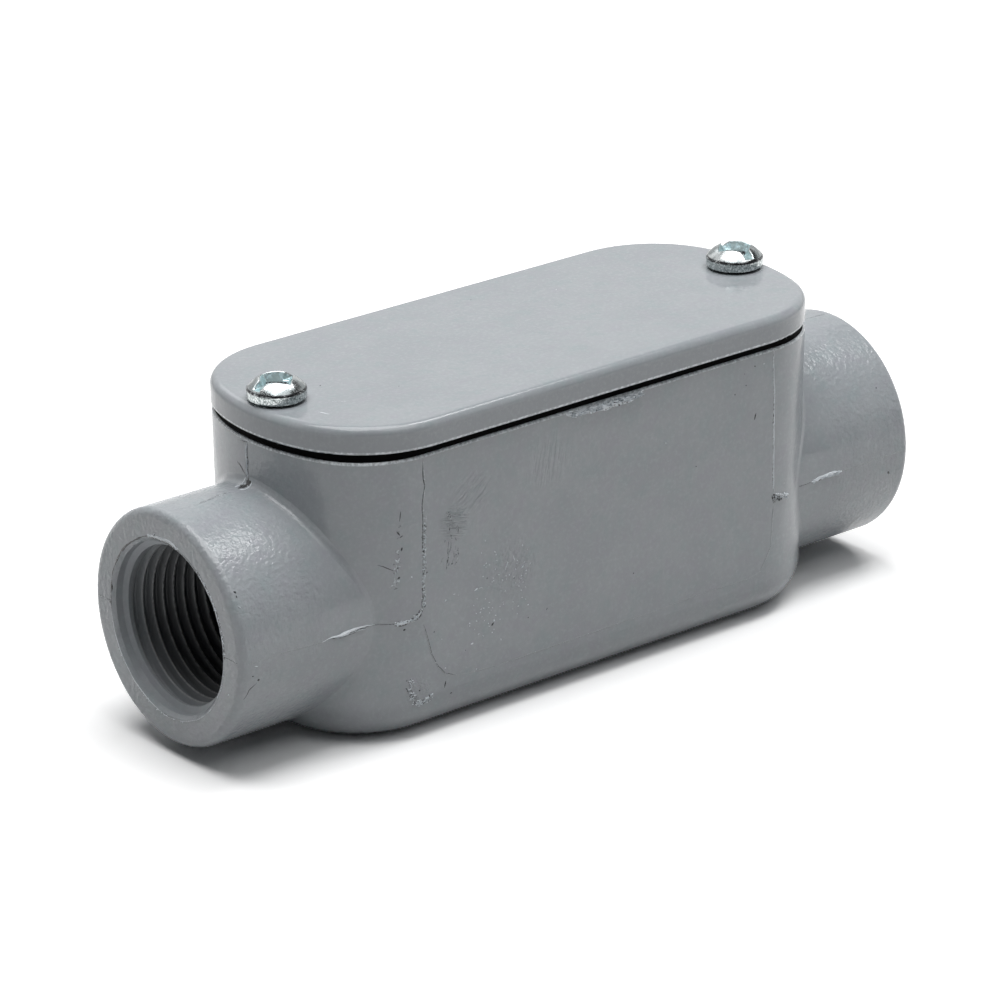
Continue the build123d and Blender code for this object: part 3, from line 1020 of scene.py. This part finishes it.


# casting flash, where the mould halves and the slides met; paths run on or near the skin, in millimetres.
# The dark strips of creased strokes and the dark strokes and bits in it, on the gate scar and in the
# ripples, are painted shade
flashSpecs = {
    "flash_side_left": [
        stroke(
            [(-34, -20.6, 44.3), (-33.7, -20.5, 40), (-34, -20.4, 37), (-33.8, -20, 25), (-34.1, -20, 20.4)],
            width=0.42, crease=-1, bare=0.42,
        ),
        stroke([(-33.66, -20.3, 36), (-33.66, -20, 20.6)], width=0.4, height=0.06, rough=1.0, bare=0.42),
        stroke(
            [(-38.6, -19, 19.2), (-36.4, -19.6, 19.3), (-35, -19.8, 19.5), (-34.1, -20, 20.6)],
            width=0.6, height=0.2, rough=1.0, bare=0.7, crease=-1,
        ),
        stroke([(-41.5, -18, 19.6), (-39.9, -18.5, 19.5), (-37.8, -19.3, 19.3)], width=0.24, crease=-1),
    ],
    "fin_hub_left": [
        stroke(
            [(-50.9, -17.9, 19.5), (-47.6, -17.9, 19.55), (-44.9, -17.9, 19.7), (-41.3, -17.9, 19.6)],
            width=0.62, height=0.4, rough=0.9, bare=0.78, taper=0.5, crease=-1,
        ),
        stroke([(-49, -17.9, 19.4), (-42.6, -17.9, 19.45)], height=0.2, rough=1.0, bare=0.5, crease=-1),
    ],
    "seam_hub_left": [
        stroke(
            [(-50.5, -17.9, 19.5), (-57, -17.9, 19.8), (-64.2, -17.9, 19.8)],
            width=0.24, height=0.03, bare=0.12,
        ),
    ],
    "flash_side_right": [
        stroke(
            [(33.7, -20.6, 44.2), (33.8, -20.5, 41), (34.1, -20.4, 37), (34.3, -20, 27), (34.6, -20, 20)],
            width=0.34, height=0.1, rough=0.7, bare=0.6, shade=0.5, crease=-1,
        ),
        stroke(
            [(34.7, -19.9, 20.4), (36.3, -19.7, 19.8), (38.3, -19.2, 19.2)],
            width=0.6, height=0.1, rough=1.0, bare=0.5, dark=0.4,
        ),
        stroke([(34.6, -19.9, 20.6), (34.7, -19.8, 19)], width=0.7, height=0.2, rough=1.0, dark=0.5),
    ],
    "fin_hub_right": [
        stroke(
            [(44.3, -17.9, 19.6), (46.3, -17.9, 19.7), (50.5, -17.9, 19.65)],
            width=0.9, height=0.24, bare=0.72, taper=0.35, crease=-1,
        ),
        stroke([(41.8, -17.9, 19.4), (44.6, -17.9, 19.65)], width=0.26, crease=-1),
    ],
    "fin_crumbs_right": scatter(
        [(44.6, -17.9, 19.62), (50.2, -17.9, 19.66)], 46, 0.14, 0.9, 0.2, 53, turn=25, height=0.26, bare=0.9,
    ),
    "seam_hub_right": [
        stroke(
            [(50.4, -17.9, 19.7), (58, -17.9, 19.75), (64.2, -17.9, 19.8)],
            width=0.24, height=0.03, bare=0.12,
        ),
    ],
    "flash_hub_top_left": [
        stroke(
            [(-59.4, -0.5, 37.7), (-57.1, -0.1, 37.7), (-54.8, 0.3, 37.7), (-52.8, 0.4, 37.7)],
            height=0.07, rough=0.9, bare=0.42, crease=1,
        ),
        stroke([(-64, -0.1, 37.7), (-59, -0.5, 37.7)], width=0.2, height=0.03, bare=0.2),
    ],
    "flash_hub_top_right": [
        stroke(
            [(50.9, 0.1, 37.8), (55, 0, 37.7), (64, 0, 37.7)],
            width=0.26, height=0.06, rough=0.9, crease=1,
        ),
    ],
    "flash_end_left": [
        stroke(
            [(-48.9, 1.4, 44.1), (-49, 1.4, 42.8), (-49, 1.3, 41.3), (-49, 1.2, 39.8), (-49.1, 1, 38.6)],
            width=0.5, height=0.14, rough=0.9, bare=0.72, crease=1,
        ),
        stroke([(-48.7, 3.8, 43.6), (-48.9, 1.0, 44.0)], width=0.26, bare=0.35, crease=1),
        stroke(
            [(-49.3, -0.1, 38.3), (-49.9, -0.2, 37.8), (-50.7, -0.3, 37.7), (-51.4, 0.1, 37.7)],
            height=0.1, rough=0.8, bare=0.7,
        ),
        stroke(
            [(-49.2, 1.7, 38.6), (-49.9, 1.5, 37.8), (-51.2, 1.5, 37.7)],
            width=0.26, height=0.14, bare=0.9,
        ),
    ],
    "flash_end_right": [
        stroke([(48.9, 0.3, 44.0), (49, 0, 41), (49.1, 0.2, 38.6)], height=0.1, crease=-1),
    ],
    "flash_back_left": backFlash(-1),
    "flash_back_right": backFlash(1),
    "panel_line": [
        stroke(
            [
                (-33.9, -20, 18.2), (-33.1, -20, 15.4), (-32.4, -20, 12.9), (-31.3, -20, 10.8),
                (-29.8, -20, 9.1), (-28, -20, 8.4),
            ],
            height=0.05, rough=0.4, bare=0.05, crease=1,
        ),
        stroke(
            [
                (-28, -20, 8.4), (-26, -20, 8.1), (-21, -20, 7.7), (0, -20, 7.7), (21, -20, 8),
                (29.6, -20, 7.8), (32.3, -20, 8.5),
            ],
            width=0.22, height=0.04, rough=0.9, bare=0.36, step=0.3,
        ),
        stroke(
            [(32.3, -20, 8.5), (34.3, -20, 11.8), (34.5, -20, 15.7), (34.7, -20, 19)],
            height=0.05, bare=0.36,
        ),
    ],
    "gate_scar": [
        stroke(
            [(x, -20.6, z) for x, z in [(-7.3, 43.9), (-3.7, 43.75), (-0.8, 43.7), (3, 43.8), (7.6, 44.1)]],
            width=1.35, height=0.2, rough=0.8, bare=0.8, shade=0.5, crease=-1,
        ),
    ]
    + scatter(
        [(-6.4, -20.6, 43.75), (7.2, -20.6, 44.0)],
        110, 0.24, 1.4, 0.22, 5, turn=16, height=0.36, rough=1.0, bare=1.1,
    )
    + scatter(
        [(-5.4, -20.6, 43.6), (4.2, -20.6, 43.6)],
        5, 0.2, 1.0, 0.16, 8, turn=14, height=0.2, dark=0.56, bare=0.2,
    ),
    "ripples": scatter(
        [(-29.0, -20.3, 34.6), (-28.2, -20.3, 32.4), (-28.4, -20.3, 29.5), (-29, -20.3, 26)],
        34, 0.8, 1.4, 0.2, 15, turn=20, height=0.06, bare=0.4, dark=0.46, taper=0.4,
    ),
}


def faceArc(side, radius, first, last):
    # points of an arc on a hub's face; angles in degrees, clockwise from the top as seen from outside
    angle = np.linspace(first, last, max(int(abs(last - first) / 4), 3))
    return ringPoints(0 * angle, radius, angle, side, threadSpec)


def faceLine(side, fromY, toY, fromZ, toZ):
    # a straight line on a hub's face
    face = side * threadSpec["face"]
    return [(face, fromY, fromZ), (face, toY, toZ)]


tickValues = {"width": 0.24, "height": 0.03, "rough": 0.5, "bare": 0.42, "taper": 0.05}


def mouthBurr(side):
    # the torn edge round a mouth: ragged bright metal on top, a saw edge down one side, a fine line
    # elsewhere with a dark stretch on one side that is the burr's painted shadow, and at each parting line a
    # tick across the face with a dark notch at its inner end, painted shade
    return [
        stroke(faceArc(side, 13.8, -16, 14), width=0.6, height=0.1, rough=1.0, bare=0.9, crease=-1),
        stroke(faceArc(side, 13.95, -12, 8), width=0.2, rough=1.0, bare=1.0),
        stroke(faceArc(side, 13.8, 34, 88), width=0.36, height=0.09, rough=1.0, bare=0.6, crease=1),
        stroke(faceArc(side, 13.72, 12, 36), width=0.2, height=0.05, rough=0.9, crease=1),
        stroke(faceArc(side, 13.74, 92, 172), width=0.18, height=0.05, rough=1.0, bare=0.5),
        stroke(faceArc(side, 13.85, 174, 187), width=0.2, height=0.06, rough=1.0, bare=0.6, crease=-1),
        stroke(faceArc(side, 13.74, 186, 262), width=0.22, height=0.06, rough=1.0, bare=0.66),
        stroke(faceArc(side, 13.72, 264, 345), width=0.32, height=0.05, rough=1.0, bare=0.2, dark=0.7),
        stroke(faceLine(side, -13.7, -17.0, 19.85, 19.8), **tickValues, crease=1),
        stroke(faceLine(side, 13.7, 17.0, 19.85, 19.8), **tickValues, crease=-1),
        stroke(faceLine(side, 13.65, 14.1, 19.7, 19.9), width=0.5, height=0.02, dark=1.0),
        stroke(faceLine(side, -13.65, -14.0, 19.7, 19.9), width=0.4, height=0.02, dark=1.0),
    ]


def mouthBits(side, seed):
    # bright bits torn out along the mouth's top and near edge, and a few at the bottom, with dark bits among
    # them that are painted shade
    top, near = faceArc(side, 13.85, -16, 14), faceArc(side, 13.85, 34, 88)
    low = faceArc(side, 13.9, 165, 240)
    kinds = [
        (top, 34, 0.14, 0.5, 0.2, {"height": 0.1, "bare": 1.0}),
        (top, 12, 0.12, 0.4, 0.14, {"height": 0.05, "bare": 0.0, "dark": 0.6}),
        (near, 40, 0.1, 0.45, 0.18, {"height": 0.08, "bare": 0.85}),
        (near, 22, 0.1, 0.4, 0.14, {"height": 0.06, "bare": 0.0, "dark": 0.62}),
        (low, 22, 0.12, 0.35, 0.16, {"height": 0.07, "bare": 0.9}),
    ]
    bits = []
    for place, (path, count, spread, length, width, values) in enumerate(kinds):
        bits += scatter(path, count, spread, length, width, seed + place, facing=(1, 0, 0), **values)
    return bits


flashSpecs["mouth_bits_left"] = mouthBits(-1, 61)
flashSpecs["mouth_bits_right"] = mouthBits(1, 71)
flashSpecs["mouth_burr_left"] = mouthBurr(-1)
flashSpecs["mouth_burr_right"] = mouthBurr(1)


# small faults: kinds of fleck, then each fleck on the side face as (x, z, length, width, turn in degrees); a
# pit fleck is a thin flat dark strip, painted shade of a pit or groove
fleckKinds = {
    "pit": {"height": 0.02, "dark": 1.0, "bare": 0.0, "taper": 0.35, "step": 0.08},
    "crumb": {"height": 0.12, "rough": 0.9, "bare": 0.85, "taper": 0.35, "step": 0.08},
}
sideFlecks = {
    "pit": [
        (-37.9, 35.2, 1.5, 0.18, 84), (-38.4, 33.7, 0.9, 0.28, -50), (-37.9, 32.6, 0.6, 0.2, 30),
        (-37.6, 30.5, 0.6, 0.42, 80), (-38.6, 28.1, 0.5, 0.3, -30), (-38.3, 26.2, 0.5, 0.4, 40),
        (-38.9, 24.7, 0.6, 0.14, 10), (-33.4, 26.2, 0.3, 0.26, 0), (-37.4, 18.0, 0.4, 0.34, 20),
        (-32.0, 16.4, 0.25, 0.22, 0), (-34.7, 7.8, 0.3, 0.28, 0), (-28.8, 5.6, 0.3, 0.28, 0),
        (-29.9, 6.9, 1.1, 0.28, 75), (-21.1, 14.3, 0.6, 0.34, 50), (-22.1, 22.2, 0.25, 0.2, 0),
        (-17.0, 20.8, 0.25, 0.22, 0), (-14.2, 13.7, 0.25, 0.2, 0), (-10.6, 13.9, 0.4, 0.14, 60),
        (30.1, 33.9, 1.1, 0.34, 72), (28.1, 40.0, 0.25, 0.26, 0), (25.9, 39.0, 0.25, 0.24, 0),
        (27.8, 41.9, 0.2, 0.2, 0), (29.8, 42.6, 0.3, 0.3, 0), (6.3, 15.2, 0.25, 0.2, 0),
        (18.4, 29.3, 0.2, 0.2, 0),
    ],
    "crumb": [
        (-38.4, 26.0, 0.4, 0.3, -40), (-36.1, 26.1, 0.3, 0.3, 0), (-24.4, 20.9, 0.7, 0.24, 15),
        (-30.0, 20.7, 0.4, 0.22, 30), (-14.3, 15.8, 0.25, 0.24, 0), (-24.1, 15.9, 0.25, 0.2, 0),
        (-25.0, 12.5, 0.5, 0.28, 0), (-29.9, 10.0, 0.25, 0.24, 0), (-20.8, 14.9, 0.4, 0.2, 60),
        (-18.6, 22.6, 1.2, 0.14, 70), (-16.8, 23.6, 0.9, 0.12, 110), (-15.6, 22.0, 0.8, 0.12, 40),
        (31.6, 42.6, 0.3, 0.26, 0), (12.1, 34.6, 0.3, 0.18, 20),
    ],
}
# flecks elsewhere, each as its path, its width and any values of its own
otherFlecks = {
    "pit": [
        ([(-40.9, -18.3, 28.8), (-40.2, -18.7, 28.5), (-39.2, -19.1, 27.9), (-38.7, -19.3, 27.6)], 0.16, {}),
        (
            [
                (-49.1, 1.0, 38.7), (-49.4, 0.65, 38.2), (-49.8, 0.6, 37.8), (-50.6, 0.5, 37.7),
                (-51.1, 0.9, 37.7),
            ],
            1.15,
            {"taper": 0.25, "height": 0.06},
        ),
        ([(-48.8, 4.0, 40.3), (-48.9, 2.9, 39.7), (-49.06, 1.6, 38.8)], 0.36, {}),
        ([(-63.9, -14.7, 29.9), (-63.5, -14.9, 29.7)], 0.42, {}),
        ([(-63.7, -15.1, 29.4), (-63.7, -15.3, 29.0)], 0.24, {}),
        ([(-63.3, -17.8, 17.7), (-63.0, -17.8, 17.6)], 0.28, {}),
        ([(-62.3, -17.6, 16.8), (-61.9, -17.6, 16.7)], 0.42, {}),
        ([(-64.3, -16.9, 14.1), (-63.6, -17.4, 15.5), (-62.4, -17.6, 16.4)], 0.2, {}),
        ([(60.8, -17.6, 16.9), (61.2, -17.6, 16.4)], 0.5, {}),
        ([(60.8, -14.8, 29.9), (60.9, -14.7, 30.1)], 0.26, {}),
    ],
    "crumb": [
        ([(-64.0, -15.8, 28.2), (-63.6, -16.0, 27.7)], 0.2, {"bare": 0.6}),
        ([(-65.2, -14.5, 14.4), (-65.2, -14.7, 14.3)], 0.26, {}),
        ([(-62.9, -17.7, 19.2), (-62.3, -17.7, 19.0)], 0.2, {"bare": 0.5}),
    ],
}


def sidePath(x, z, length, turn):
    # a short straight path on the side face that faces -Y
    angle = math.radians(turn)
    return [(x, -20, z), (x + length * math.cos(angle), -20, z + length * math.sin(angle))]


for kind, name in (("pit", "casting_pit_shade"), ("crumb", "casting_crumbs")):
    flecks = [(sidePath(x, z, length, turn), width, {}) for x, z, length, width, turn in sideFlecks[kind]]
    flecks += otherFlecks[kind]
    values = fleckKinds[kind]
    flashSpecs[name] = [stroke(path, **{**values, "width": width, **own}) for path, width, own in flecks]

# rough clusters: a torn corner low on the near side, and crumbs along the flash and on the side face; the
# dark crumbs among them are painted shade
tornPath = [
    (-36.0, -19.6, 10), (-36.1, -19.5, 8.2), (-35.6, -19.5, 6.4), (-34.4, -19.5, 5.6), (-32.2, -19.6, 6.4),
]
crumbPath = [(-33.8, -20.2, 34), (-33.8, -20, 21), (-35.5, -19.8, 19.4), (-38.5, -19, 19.3)]
rightPath = [(34.5, -19.9, 20.2), (36.0, -19.8, 19.8), (38.0, -19.3, 19.3)]
rightRim = [(34.5, -19.9, 20.4), (36.4, -19.7, 19.4)]
upperSide = [(-38.0, -19.3, 36), (-38.2, -19.3, 25)]
flashSpecs["torn_corner"] = (
    scatter(tornPath, 70, 0.28, 0.45, 0.13, 31, height=0.1, bare=0.9)
    + scatter(tornPath, 26, 0.4, 0.5, 0.18, 33, height=0.04, bare=0.0, dark=0.62)
)
flashSpecs["flash_crumbs"] = (
    scatter(crumbPath, 150, 0.13, 0.4, 0.17, 35, height=0.17, bare=0.9)
    + scatter(crumbPath, 60, 0.16, 0.35, 0.15, 37, height=0.13, bare=0.0, dark=0.62)
    + scatter(rightPath, 34, 0.22, 0.6, 0.24, 47, height=0.2, bare=0.6)
    + scatter(rightRim, 22, 0.26, 0.5, 0.26, 49, height=0.16, bare=0.0, dark=0.62)
    + scatter(upperSide, 16, 0.35, 0.4, 0.16, 39, height=0.04, bare=0.2, dark=0.5)
    + scatter([(-38.0, -19.3, 30.6), (-38.5, -19.2, 25)], 22, 0.35, 0.6, 0.13, 43, turn=70, bare=0.8)
    + scatter([(-24.5, -20, 22), (-14, -20, 20)], 60, 3.0, 0.3, 0.11, 41, height=0.06, bare=0.7)
    + scatter([(-30, -20, 18), (-18, -20, 14)], 26, 2.6, 0.3, 0.11, 45, height=0.06, bare=0.7)
)

castSkin = nodeSkin("casting")
for place, (name, strokes) in enumerate(flashSpecs.items()):
    addStrokes(name, strokes, castSkin, "body", 100 * place + 40)
print("flash laid:", len(flashSpecs), "pieces")


# marks on the cover's top, each as x and y of both ends, width, bare and dark: pale scuffs beside the near
# screw, and a few dark dots
coverTop = 49.9
coverMarks = [
    (-39.0, -6.1, -38.5, -6.6, 0.2, 0.5, 0.0),
    (-38.2, -6.9, -37.4, -7.2, 0.16, 0.5, 0.0),
    (-43.1, -8.2, -42.6, -9.2, 0.26, 0.6, 0.0),
    (-42.9, -9.0, -42.4, -9.9, 0.16, 0.6, 0.0),
    (-36.4, 0.2, -36.0, 0.4, 0.2, 0.0, 0.9),
    (-27.9, -7.4, -27.7, -7.5, 0.2, 0.0, 0.9),
    (3.8, 14.8, 4.1, 14.9, 0.2, 0.0, 0.8),
    (16.4, 9.8, 16.8, 9.9, 0.2, 0.5, 0.0),
]
markValues = {"height": 0.015, "step": 0.1, "taper": 0.35}
markStrokes = [
    stroke([(x, y, coverTop), (endX, endY, coverTop)], width=width, bare=bare, dark=dark, **markValues)
    for x, y, endX, endY, width, bare, dark in coverMarks
]
addStrokes("cover_marks", markStrokes, nodeSkin("cover"), "cover", 7)
print("cover marked")
